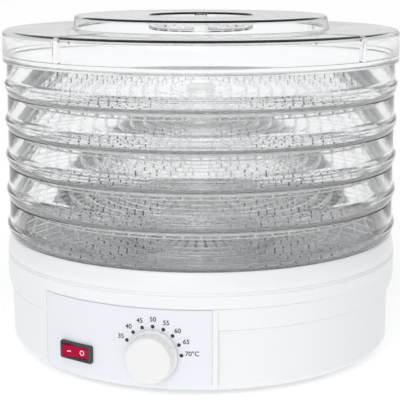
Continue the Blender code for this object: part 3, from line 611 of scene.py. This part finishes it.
def outer_radius(azimuth, height):
    """The housing's outside: plain wall, raised pad with the panel's pocket, recess, and mould lines."""
    a = (azimuth + 180.0) % 360.0 - 180.0
    r = wall_radius(height)
    recess = ease(a, PAD_TO, PAD_TO + EDGE_TURN) * (1.0 - ease(a, RECESS_TO, RECESS_TO + EDGE_TURN))
    recess *= 1.0 - ease(height, RECESS_TOP, RECESS_TOP + EDGE)
    r = min(r, r + (RECESS_RADIUS - r) * recess)
    pad = ease(a, PAD_FROM - EDGE_TURN, PAD_FROM) * (1.0 - ease(a, PAD_TO, PAD_TO + EDGE_TURN))
    pad *= ease(height, 6.0, 13.0)
    grip = 1.0 - ease(abs(abs(a) - GRIP_MIDDLE), GRIP_HALF - 7.0, GRIP_HALF)
    if height < CREASE + 0.35:
        r = max(r, r + (PANEL_FACE - r) * pad)
        r = max(r, r + (GRIP_RADIUS - r) * grip * ease(height, 48.6, 61.0))
    pocket = ease(a, PANEL_FROM - GAP, PANEL_FROM) * (1.0 - ease(a, PANEL_TO, PANEL_TO + GAP))
    pocket *= ease(height, PANEL_LOW - 0.2, PANEL_LOW) * (1.0 - ease(height, PANEL_HIGH, PANEL_HIGH + 0.2))
    r = min(r, r + (PANEL_BACK - 0.3 - r) * pocket)
    r -= groove(height, CREASE - 0.3, 1.3, 0.9) * (1.0 - pocket) * (1.0 - grip)
    r -= groove(height, RECESS_TOP - 0.2, 1.2, 0.6) * max(recess, 0.5 * left_line(a))
    for middle, depth in RIPPLES:
        r -= groove(height, middle, 2.0 * GROOVE_HALF, depth)
    return r


def steps_between(low, high, size):
    """Even steps of about a size from low up to high, without high itself."""
    count = max(1, math.ceil((high - low) / size))
    return [low + (high - low) * i / count for i in range(count)]


def housing_azimuths():
    """Even azimuths round the housing, and more of them where its outside steps."""
    edges = ((PAD_FROM - EDGE_TURN, EDGE_TURN), (PANEL_FROM - GAP, GAP), (PANEL_TO, GAP),
             (PAD_TO, EDGE_TURN), (RECESS_TO, EDGE_TURN))
    marks = set()
    for edge, width in edges:
        marks.update(round(edge + width * s / 3.0, 4) for s in range(4))
    marks.update(steps_between(-180.0, 180.0, 1.5))
    marks = sorted(marks)
    return [a for i, a in enumerate(marks) if i == 0 or a - marks[i - 1] > 0.01]


def housing_heights():
    """Heights of the housing's rows above its bottom curve, closer together at steps and lines."""
    marks = {z for _, z in WALL if z >= 5.8}
    for edge, width in ((RECESS_TOP, EDGE), (PANEL_LOW - 0.2, 0.2), (PANEL_HIGH, 0.2)):
        marks.update(edge + width * s / 3.0 for s in range(4))
    for middle in (RECESS_TOP - 0.2, CREASE - 0.3, *[height for height, _ in RIPPLES]):
        marks.update(middle + GROOVE_HALF * s / 4.0 for s in range(-4, 5))
    marks.update(steps_between(6.0, CREASE, 2.5))
    marks = sorted(marks)
    return [z for i, z in enumerate(marks) if i == 0 or z - marks[i - 1] > 0.05]


def housing():
    """Moulded base housing with its pad, recess, well and outlet hole."""
    rows = [(147.0, 4.0), (151.5, 4.0)]
    rows += [(r, z) for r, z in WALL if 4.0 < z < 5.8 and r > 151.5]
    for z in housing_heights():
        rows.append(((lambda a, h=z: outer_radius(a, h)), z))
    inner = rounded((
        (161.0, BASE_TOP, 0.0), (159.4, BASE_TOP, 0.6), (158.4, DECK_TOP + 1.5, 2.5),
        (150.0, DECK_TOP, 4.0), (OUTLET_RADIUS, DECK_TOP - 2.0, 0.4), (OUTLET_RADIUS, DECK_TOP - 4.4, 0.3),
        (154.0, DECK_TOP - 2.6, 3.0), (159.4, 81.0, 1.0), (161.9, 78.0, 1.0), (161.9, 72.0, 1.0),
        (158.8, 69.0, 1.0), (158.0, 14.0, 4.0), (155.0, 8.6, 1.0), (147.0, 7.4, 0.0),
    ), closed=False)
    shell = lathe("housing_shell", rows + inner[1:], housing_azimuths(), sharp=26.0)
    tools = []
    hole = beveled_box("hole", (-14.2, -6.7, -9.0), (14.2, 6.7, 9.0), 0.6)
    tools.append(bake(hole, panel_frame(SWITCH_AZIMUTH, 159.5, SWITCH_HEIGHT)))
    for azimuth, height, radius in ((KNOB_AZIMUTH, KNOB_HEIGHT, 5.4), (180.0, GLAND_HEIGHT, 6.4)):
        hole = prism("hole", circle(radius), -9.0, 9.0)
        tools.append(bake(hole, panel_frame(azimuth, 159.5, height)))
    shell = boolean(shell, combine("holes", tools), "DIFFERENCE", 26.0)

    posts = []
    for azimuth in POST_AZIMUTHS:
        x, y, _ = polar(POST_RADIUS, azimuth, 0.0)
        post = lathe("post", rounded(((1.9, 7.2, 0.0), (5.0, 7.2, 0.4), (5.4, DECK_TOP - 1.5, 0.0),
                                      (1.9, DECK_TOP - 1.5, 0.0))), even_azimuths(24))
        posts.append(bake(post, shifted(x, y)))
    dress(combine("cover_posts", posts), "white", "base")
    dress(shell, "white", "base", ["base_housing"])


def bent(thing, azimuth, radius, height):
    """Wraps a piece drawn flat (x right, y up, z outwards) round the wall at an azimuth."""
    for v in thing.data.vertices:
        x, y, z = v.co / MM
        v.co = Vector(polar(radius + z, azimuth + math.degrees(x / radius), height + y)) * MM
    thing.data.update()
    return thing


def panel():
    """Thin curved panel plate, with its two openings."""
    azimuths = [PANEL_FROM + (PANEL_TO - PANEL_FROM) * i / 96.0 for i in range(97)]
    outline = rounded((
        (PANEL_BACK, PANEL_LOW, 0.2), (PANEL_FACE - 0.9, PANEL_LOW, 0.5), (PANEL_FACE, 13.5, 3.0),
        (PANEL_FACE, PANEL_HIGH, 0.45), (PANEL_BACK, PANEL_HIGH, 0.2),
    ))
    verts, faces = [], []
    count = len(outline)
    for i, a in enumerate(azimuths):
        end_drop = 0.35 if i in (0, len(azimuths) - 1) else 0.0
        verts += [polar(max(r - end_drop, PANEL_BACK), a, z) for r, z in outline]
        if i:
            for s in range(count):
                t = (s + 1) % count
                faces.append([(i - 1) * count + s, (i - 1) * count + t, i * count + t, i * count + s])
    faces.append(list(range(count)))
    faces.append([(len(azimuths) - 1) * count + s for s in range(count)])
    plate = make("panel_plate", verts, faces, 35.0)
    hole = beveled_box("hole", (-13.9, -6.4, -8.0), (13.9, 6.4, 8.0), 0.4)
    bake(hole, panel_frame(SWITCH_AZIMUTH, 160.0, SWITCH_HEIGHT))
    shaft = bake(prism("hole", circle(5.0), -8.0, 8.0), panel_frame(KNOB_AZIMUTH, 160.0, KNOB_HEIGHT))
    plate = boolean(plate, combine("holes", [hole, shaft]), "DIFFERENCE", 35.0)
    dress(plate, "panel", "base", ["control_panel"])


def word_mesh(word, x, y, side):
    """A printed word as a thin solid, lying flat beside its place."""
    curve = bpy.data.curves.new("word", "FONT")
    curve.body = word
    curve.size = 5.0 * MM
    curve.extrude = 0.03 * MM
    curve.offset = 0.09 * MM
    curve.align_x = side
    curve.align_y = "CENTER"
    text = place_in_scene("word", curve)
    bpy.context.view_layer.update()
    graph = bpy.context.evaluated_depsgraph_get()
    mesh = bpy.data.meshes.new_from_object(text.evaluated_get(graph))
    bpy.data.objects.remove(text)
    mesh.transform(shifted(x, y, 0.03))
    return finish_mesh("word", mesh, 40.0)


def scale_marks():
    """Eight dots round the knob, and a temperature beside each."""
    dots, words = [], []
    for i in range(DIAL_MARKS):
        last = i == DIAL_MARKS - 1
        turn = math.radians(DIAL_FROM + DIAL_STEP * i)
        across, up = math.sin(turn), math.cos(turn)
        dot = prism("dot", circle(1.45), 0.0, 0.05)
        dots.append(bake(dot, shifted(DIAL_RADIUS * across, DIAL_RADIUS * up)))
        number = str(35 + 5 * i)
        if last:
            words.append(word_mesh(number + "°C", 24.6, 28.0 * up + 1.0, "LEFT"))
        else:
            away = 27.4 if i < 6 else 28.0          # the last ones stand a little further out
            words.append(word_mesh(number, away * across, away * up, "CENTER"))
    for name, things in (("scale_dots", dots), ("scale_numbers", words)):
        marks = bent(combine(name, things), KNOB_AZIMUTH, PANEL_FACE, KNOB_HEIGHT)
        dress(marks, "print", "base")


# --- switch and knob ----------------------------------------------------------------------------


def rounded_rectangle(half_x, half_y, radius, steps=6):
    """A flat outline about its middle, for a prism."""
    out = []
    for right, up, start in ((1, 1, 0), (-1, 1, 90), (-1, -1, 180), (1, -1, 270)):
        x, y = right * (half_x - radius), up * (half_y - radius)
        for s in range(steps + 1):
            a = math.radians(start + 90.0 * s / steps)
            out.append((x + radius * math.cos(a), y + radius * math.sin(a)))
    return out


def rocker_height(x):
    """The rocker's hollow face, above its pivot."""
    return ROCKER_DIP + ROCKER_RISE * (x / ROCKER_HALF) ** 2


def switch():
    """Rocker switch: bezel and body, curved red rocker, and its two marks."""
    place = panel_frame(SWITCH_AZIMUTH, SWITCH_RADIUS, SWITCH_HEIGHT)
    bezel = prism("bezel", rounded_rectangle(15.4, 6.95, 1.7), -1.4, 2.0, 0.75, 4)
    body = beveled_box("body", (-13.4, -5.9, -22.0), (13.4, 5.9, 0.5), 0.4)
    bezel = boolean(bezel, body, "UNION", 35.0)
    well = prism("well", rounded_rectangle(11.9, 4.75, 0.5), -9.5, 6.0)
    bezel = boolean(bezel, well, "DIFFERENCE", 35.0)
    lip = prism("lip", rounded_rectangle(13.4, 5.9, 0.9), 1.35, 6.0)
    bezel = boolean(bezel, lip, "DIFFERENCE", 35.0)
    bezel.name = "switch_bezel"
    bake(bezel, place)
    dress(bezel, "bezel", "base", ["switch_housing"])

    place = place @ turned(ROCKER_TILT, "Y")
    face = [-ROCKER_HALF + 2.0 * ROCKER_HALF * i / 24.0 for i in range(25)]
    outline = [(x, rocker_height(x)) for x in face]
    outline += [(10.6, -1.4), (4.0, -5.0), (-4.0, -5.0), (-10.6, -1.4)]
    rocker = prism("rocker_cap", outline, -4.4, 4.4, 0.35, 3, 40.0)
    upright = Matrix(((1, 0, 0, 0), (0, 0, -1, 0), (0, 1, 0, 0), (0, 0, 0, 1)))
    bake(rocker, place @ upright)
    dress(rocker, "red", "rocker", ["switch_rocker"])
    dress(bake(rocker_marks(), place), "mark", "rocker")


def rocker_marks():
    """The dash and the ring on the rocker, each laid on the slope of its face."""
    proud = 0.04
    dash_x, ring_x = 5.8, 5.6
    slope = math.degrees(math.atan(2.0 * ROCKER_RISE * ring_x / ROCKER_HALF ** 2))
    dash = beveled_box("dash", (-1.6, -0.42, -0.3), (1.6, 0.42, 0.05), 0.05, 1)
    bake(dash, shifted(-dash_x, 0.0, rocker_height(dash_x) + proud) @ turned(slope, "Y"))
    outline = rounded(((1.35, -0.3, 0.0), (2.15, -0.3, 0.0), (2.15, 0.1, 0.06), (1.35, 0.1, 0.06)))
    ring = lathe("ring", outline, even_azimuths(32))
    bake(ring, shifted(ring_x, 0.0, rocker_height(ring_x) + proud) @ turned(-slope, "Y"))
    return combine("rocker_marks", [dash, ring])


def knob():
    """Turned knob with a crowned face, a soft skirt and a raised pointer rib."""
    place = panel_frame(KNOB_AZIMUTH, PANEL_FACE, KNOB_HEIGHT)
    outline = rounded((
        (0.0, 14.5, 0.0), (9.0, 14.5, 0.0), (15.2, 14.35, 2.0), (17.35, 13.5, 1.5), (17.9, 3.6, 1.2),
        (19.5, 2.6, 0.5), (19.8, 0.8, 0.3), (17.2, 0.8, 0.3), (16.0, 12.0, 1.0), (6.5, 12.2, 0.5),
        (6.3, 3.2, 0.3), (3.3, 3.2, 0.2), (3.3, 11.0, 0.1), (0.0, 11.0, 0.0),
    ))
    cap = lathe("knob_cap", outline, even_azimuths(96), sharp=34.0)
    rib = beveled_box("rib", (-0.9, 16.6, 1.4), (0.9, 19.3, 6.2), 0.5)
    bake(rib, turned(-KNOB_REST))
    cap = boolean(cap, rib, "UNION", 34.0)
    bake(cap, place)
    dress(cap, "knob", "knob", ["knob"])


# --- underside, grille and inner parts ----------------------------------------------------------


def slotted_plate(name, outline, slots):
    """A round plate with its slots cut out."""
    plate = lathe(name, outline, even_azimuths(160), sharp=30.0)
    return boolean(plate, combine("slots", slots), "DIFFERENCE", 30.0)


def radial_slots(inner, outer, low, high, count, width):
    """Cutters for a ring of slots that point at the middle."""
    made = []
    outline = rounded_rectangle(width / 2.0, (outer - inner) / 2.0, width / 2.0 - 0.01, 5)
    for i in range(count):
        slot = bake(prism("slot", outline, low, high), shifted(0.0, -(inner + outer) / 2.0))
        made.append(bake(slot, turned(360.0 * (i + 0.5) / count)))
    return made


def underside():
    """Bottom cover with its intake slots, and four rubber feet."""
    low, top = corner("base_bottom_cover", 0).z, COVER_TOP
    outline = rounded(((0.0, low, 0.0), (145.9, low, 0.6), (145.9, top, 0.4), (0.0, top, 0.0)))
    slots = radial_slots(30.0, 62.0, 0.0, 12.0, 32, 2.2)
    for azimuth in POST_AZIMUTHS:
        x, y, _ = polar(POST_RADIUS, azimuth, 0.0)
        sink = lathe("sink", ((0.0, low - 3.0), (4.6, low - 3.0), (4.6, low + 1.6), (2.3, low + 1.6),
                              (2.3, top + 3.0), (0.0, top + 3.0)), even_azimuths(24))
        slots.append(bake(sink, shifted(x, y)))
    for azimuth in FOOT_AZIMUTHS:
        x, y, _ = polar(FOOT_RADIUS, azimuth, 0.0)
        hole = lathe("hole", ((0.0, low - 3.0), (3.0, low - 3.0), (3.0, top + 3.0), (0.0, top + 3.0)),
                     even_azimuths(24))
        slots.append(bake(hole, shifted(x, y)))
    plate = slotted_plate("bottom_plate", outline, slots)
    bosses = []
    for side in (-1, 1):
        boss = lathe("boss", rounded(((1.75, top - 0.2, 0.0), (4.8, top - 0.2, 0.0), (4.4, 13.2, 0.4),
                                      (1.75, 13.2, 0.2))), even_azimuths(24))
        bosses.append(bake(boss, shifted(side * 24.0, 0.0)))
    dress(combine("cover_bosses", bosses), "cover", "base")
    dress(plate, "cover", "base", ["base_bottom_cover"])

    foot = rounded(((0.0, 0.0, 0.0), (6.0, 0.0, 0.3), (6.6, 0.7, 0.4), (8.4, 0.0, 0.5), (9.6, 1.0, 0.6),
                    (9.6, 3.2, 0.6), (8.8, 4.0, 0.4), (2.7, 4.0, 0.2), (2.7, 7.1, 0.2), (3.9, 7.5, 0.4),
                    (2.2, 10.0, 0.6), (0.0, 10.0, 0.0)))
    for k in range(1, 5):
        node = "foot_%d" % k
        middle = (corner(node, 0) + corner(node, 1)) / 2.0
        thing = lathe(node + "_rubber", foot, even_azimuths(40), sharp=40.0)
        bake(thing, shifted(middle.x, middle.y))
        dress(thing, "rubber", "base", [node])


def grille():
    """Outlet grille over the heater, in the floor of the well."""
    z = DECK_TOP - 1.6
    outline = rounded(((0.0, z, 0.0), (65.9, z, 0.3), (65.9, z + 2.0, 1.0), (62.0, z + 3.2, 2.0),
                       (0.0, z + 3.2, 0.0)))
    slots = radial_slots(14.0, 32.0, z - 4.0, z + 7.0, 16, 2.2)
    slots += radial_slots(37.0, 57.0, z - 4.0, z + 7.0, 40, 2.2)
    plate = slotted_plate("grille_plate", outline, slots)
    dress(plate, "white", "base", ["outlet_grille"])


def gland():
    """Bush at the back where the lead enters, with the ribs that let it flex."""
    points = [(0.0, -9.0, 0.0), (6.0, -9.0, 0.5), (6.0, 1.0, 0.2), (9.0, 1.0, 0.5), (9.0, 2.4, 0.5),
              (6.4, 2.9, 0.3)]
    for i in range(3):
        z = 3.6 + 2.4 * i
        r = 6.3 - 0.45 * i
        points += [(r, z, 0.3), (r - 0.15, z + 1.2, 0.3), (r - 1.0, z + 1.4, 0.2), (r - 1.05, z + 2.0, 0.2)]
    points += [(5.0, 11.3, 0.4), (3.6, 11.3, 0.3), (3.6, 4.0, 0.3), (0.0, 4.0, 0.0)]
    thing = lathe("gland_bush", rounded(points), even_azimuths(48), sharp=30.0)
    bake(thing, panel_frame(180.0, 160.2, GLAND_HEIGHT))
    dress(thing, "white", "base", ["cord_gland"])


CARRIED = {
    "steel": ("cover_screw_1", "cover_screw_2", "cover_screw_3", "cover_screw_4", "duct_screw_1",
              "duct_screw_2", "duct_screw_3", "fan_clip", "motor_rotor", "motor_shaft",
              "motor_bracket_lower", "motor_bracket_upper", "motor_screw_left", "motor_screw_right",
              "thermostat_nut", "thermostat_spindle"),
    "brass": ("switch_terminal_line", "switch_terminal_load", "switch_terminal_neutral",
              "thermostat_bushing", "thermostat_bimetal"),
    "galvanised": ("heat_duct",),
    "lamination": ("motor_stator",),
    "copper": ("motor_coil",),
    "mica": ("heater_board_long", "heater_board_cross"),
    "nichrome": ("heater_coil",),
    "ceramic": ("thermostat_body",),
    "fan": ("fan_impeller",),
    "block": ("terminal_block",),
    "fuse": ("thermal_fuse",),
    "brown_wire": ("wire_block_to_switch",),
    "blue_wire": ("wire_switch_to_thermostat",),
    "grey_wire": ("wire_thermostat_to_fuse",),
    "dark_wire": ("wire_fuse_to_block",),
}


def carried_nodes():
    """The inner nodes stay as they are, with a better material."""
    for look, names in CARRIED.items():
        for name in names:
            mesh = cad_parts[name].data
            mesh.materials.clear()
            mesh.materials.append(LOOKS[look])


# --- studio -------------------------------------------------------------------------------------


def grey_ramp(tree, stops):
    """A ramp through (place, grey) stops, of which the first is at 0."""
    ramp = tree.nodes.new("ShaderNodeValToRGB")
    for place, grey in stops:
        stop = ramp.color_ramp.elements[0] if place == 0.0 else ramp.color_ramp.elements.new(place)
        stop.position = place
        stop.color = (grey, grey, grey * 1.01, 1.0)
    return ramp


def studio_floor():
    """Plain pale floor, which reaches past the horizon of the picture."""
    floor = bpy.data.meshes.new("studio_floor")
    floor.from_pydata([(-9, -9, 0), (9, -9, 0), (9, 14, 0), (-9, 14, 0)], [], [[0, 1, 2, 3]])
    floor.materials.append(LOOKS["floor"])
    place_in_scene("studio_floor", floor)


def studio_world():
    """Soft light all round: brightest overhead, dimmer at the sides than in front and behind."""
    world = bpy.data.worlds.new("studio_world")
    bpy.context.scene.world = world
    world.use_nodes = True
    tree = world.node_tree
    coords = tree.nodes.new("ShaderNodeTexCoord")
    axes = tree.nodes.new("ShaderNodeSeparateXYZ")
    tree.links.new(coords.outputs["Generated"], axes.inputs["Vector"])
    around = grey_ramp(tree, ((0.0, 0.94), (0.3, 0.78), (0.46, 0.44), (0.58, 0.34), (0.74, 0.38),
                              (0.92, 0.82), (1.0, 1.0)))
    depth = tree.nodes.new("ShaderNodeMapRange")
    depth.inputs["From Min"].default_value = -1.0
    tree.links.new(axes.outputs["Y"], depth.inputs["Value"])
    tree.links.new(depth.outputs["Result"], around.inputs["Fac"])
    height = tree.nodes.new("ShaderNodeMapRange")
    height.inputs["From Min"].default_value = 0.5
    height.inputs["From Max"].default_value = 0.95
    tree.links.new(axes.outputs["Z"], height.inputs["Value"])
    mix = tree.nodes.new("ShaderNodeMix")
    mix.data_type = "RGBA"
    mix.inputs["B"].default_value = (1.16, 1.17, 1.18, 1.0)
    tree.links.new(height.outputs["Result"], mix.inputs["Factor"])
    tree.links.new(around.outputs["Color"], mix.inputs["A"])
    tree.links.new(mix.outputs["Result"], tree.nodes["Background"].inputs["Color"])
    tree.nodes["Background"].inputs["Strength"].default_value = 0.85


def key_window():
    """A soft window light in front, above and a little to the left."""
    data = bpy.data.lights.new("key_window", "AREA")
    data.shape = "RECTANGLE"
    data.size = 1.1
    data.size_y = 1.0
    data.energy = 7.0
    place, aim = Vector((-0.45, -1.9, 0.8)), Vector((0.0, 0.0, 0.14))
    lamp = place_in_scene("key_window", data)
    lamp.location = place
    lamp.rotation_euler = (aim - place).to_track_quat("-Z", "Y").to_euler()


def photo_camera():
    """The photograph's viewpoint, with no depth of field."""
    data = bpy.data.cameras.new("photo_camera")
    data.sensor_width = 36.0
    data.lens = FOCAL_LENGTH
    data.shift_y = CAMERA_SHIFT
    data.clip_end = 100.0
    camera = place_in_scene("photo_camera", data)
    camera.location = (CAMERA_ASIDE, -CAMERA_AWAY, CAMERA_HEIGHT)
    camera.rotation_euler = (math.radians(90.0 - CAMERA_TILT), 0.0, 0.0)
    scene = bpy.context.scene
    scene.camera = camera
    scene.view_settings.view_transform = "Standard"
    scene.cycles.max_bounces = LIGHT_BOUNCES
    scene.cycles.transmission_bounces = LIGHT_BOUNCES


studio_floor()
studio_world()
key_window()
photo_camera()
trays()
lid()
housing()
panel()
scale_marks()
switch()
knob()
underside()
grille()
gland()
carried_nodes()
